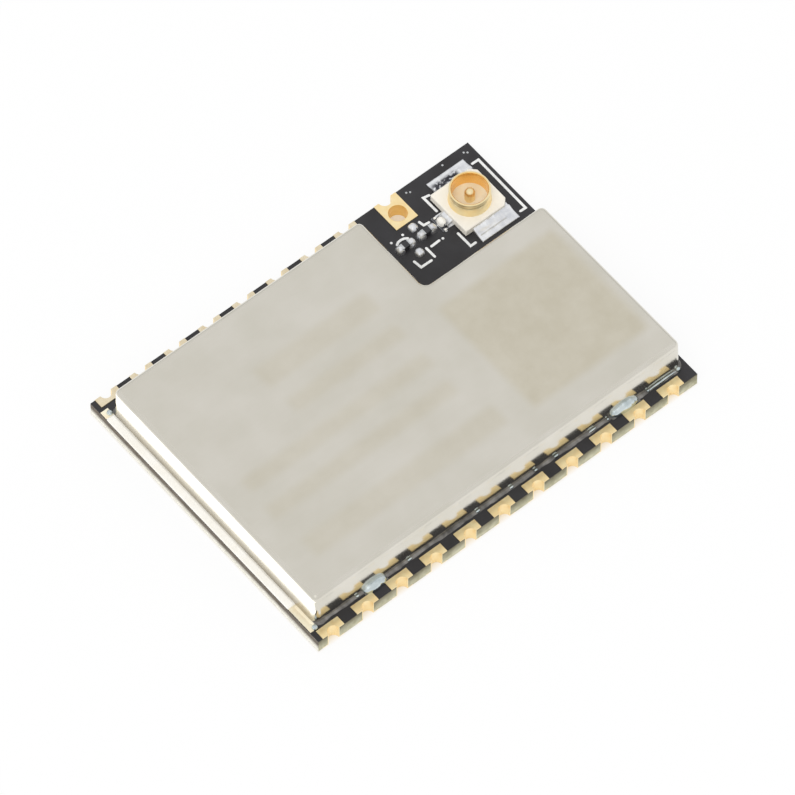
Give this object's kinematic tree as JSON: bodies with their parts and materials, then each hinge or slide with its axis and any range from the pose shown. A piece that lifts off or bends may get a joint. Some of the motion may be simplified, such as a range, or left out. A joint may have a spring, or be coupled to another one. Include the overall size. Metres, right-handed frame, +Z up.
{
  "type": "radio module",
  "caption": "Surface-mount radio module: circuit board with plated half-hole edge pads, an L-shaped drawn metal shield can and a small coaxial antenna connector.",
  "frame": {"origin": "centre of the circuit board's underside", "axes": "+X along the board towards the end with the coaxial connector, +Y across the board towards the edge with the antenna pad, +Z up through the shield"},
  "size_m": [0.0222, 0.0164, 0.0028],
  "materials": {
    "laminate": "glass-epoxy laminate under black satin solder mask",
    "gold_plating": "thin gold plating on copper",
    "shield_sheet": "bright nickel-silver sheet, drawn",
    "solder": "reflowed tin solder",
    "connector_moulding": "moulded cream liquid-crystal polymer",
    "connector_gold": "gold plating on phosphor bronze",
    "chip_moulding": "moulded black epoxy",
    "tinned_ends": "matt tin plating",
    "crystal_ceramic": "fired grey ceramic",
    "crystal_lid": "plated seam-welded lid",
    "ferrite": "pressed ferrite",
    "inductor_ceramic": "fired blue-grey ceramic",
    "capacitor_ceramic": "fired tan ceramic"
  },
  "bodies": {
    "root": {"circuit_board": "laminate", "front_edge_pads": "gold_plating", "rear_edge_pads": "gold_plating", "antenna_pad": "gold_plating", "ground_land": "gold_plating", "shield_can": "shield_sheet", "shield_solder": "solder", "connector_base": "connector_moulding", "connector_ring": "connector_gold", "connector_contact": "connector_gold", "connector_lands": "solder", "connector_solder": "solder", "matching_lands": "solder", "matching_chips": "chip_moulding", "matching_chip_ends": "tinned_ends", "component_lands": "gold_plating", "transceiver_body": "chip_moulding", "transceiver_leads": "tinned_ends", "controller_body": "chip_moulding", "controller_leads": "tinned_ends", "switch_body": "chip_moulding", "switch_leads": "tinned_ends", "reference_crystal_base": "crystal_ceramic", "reference_crystal_lid": "crystal_lid", "clock_crystal_base": "crystal_ceramic", "clock_crystal_lid": "crystal_lid", "power_inductor": "ferrite", "power_inductor_ends": "tinned_ends", "rf_inductors": "inductor_ceramic", "rf_inductor_ends": "tinned_ends", "capacitors": "capacitor_ceramic", "capacitor_ends": "tinned_ends", "resistors": "chip_moulding", "resistor_ends": "tinned_ends"}
  },
  "joints": []
}
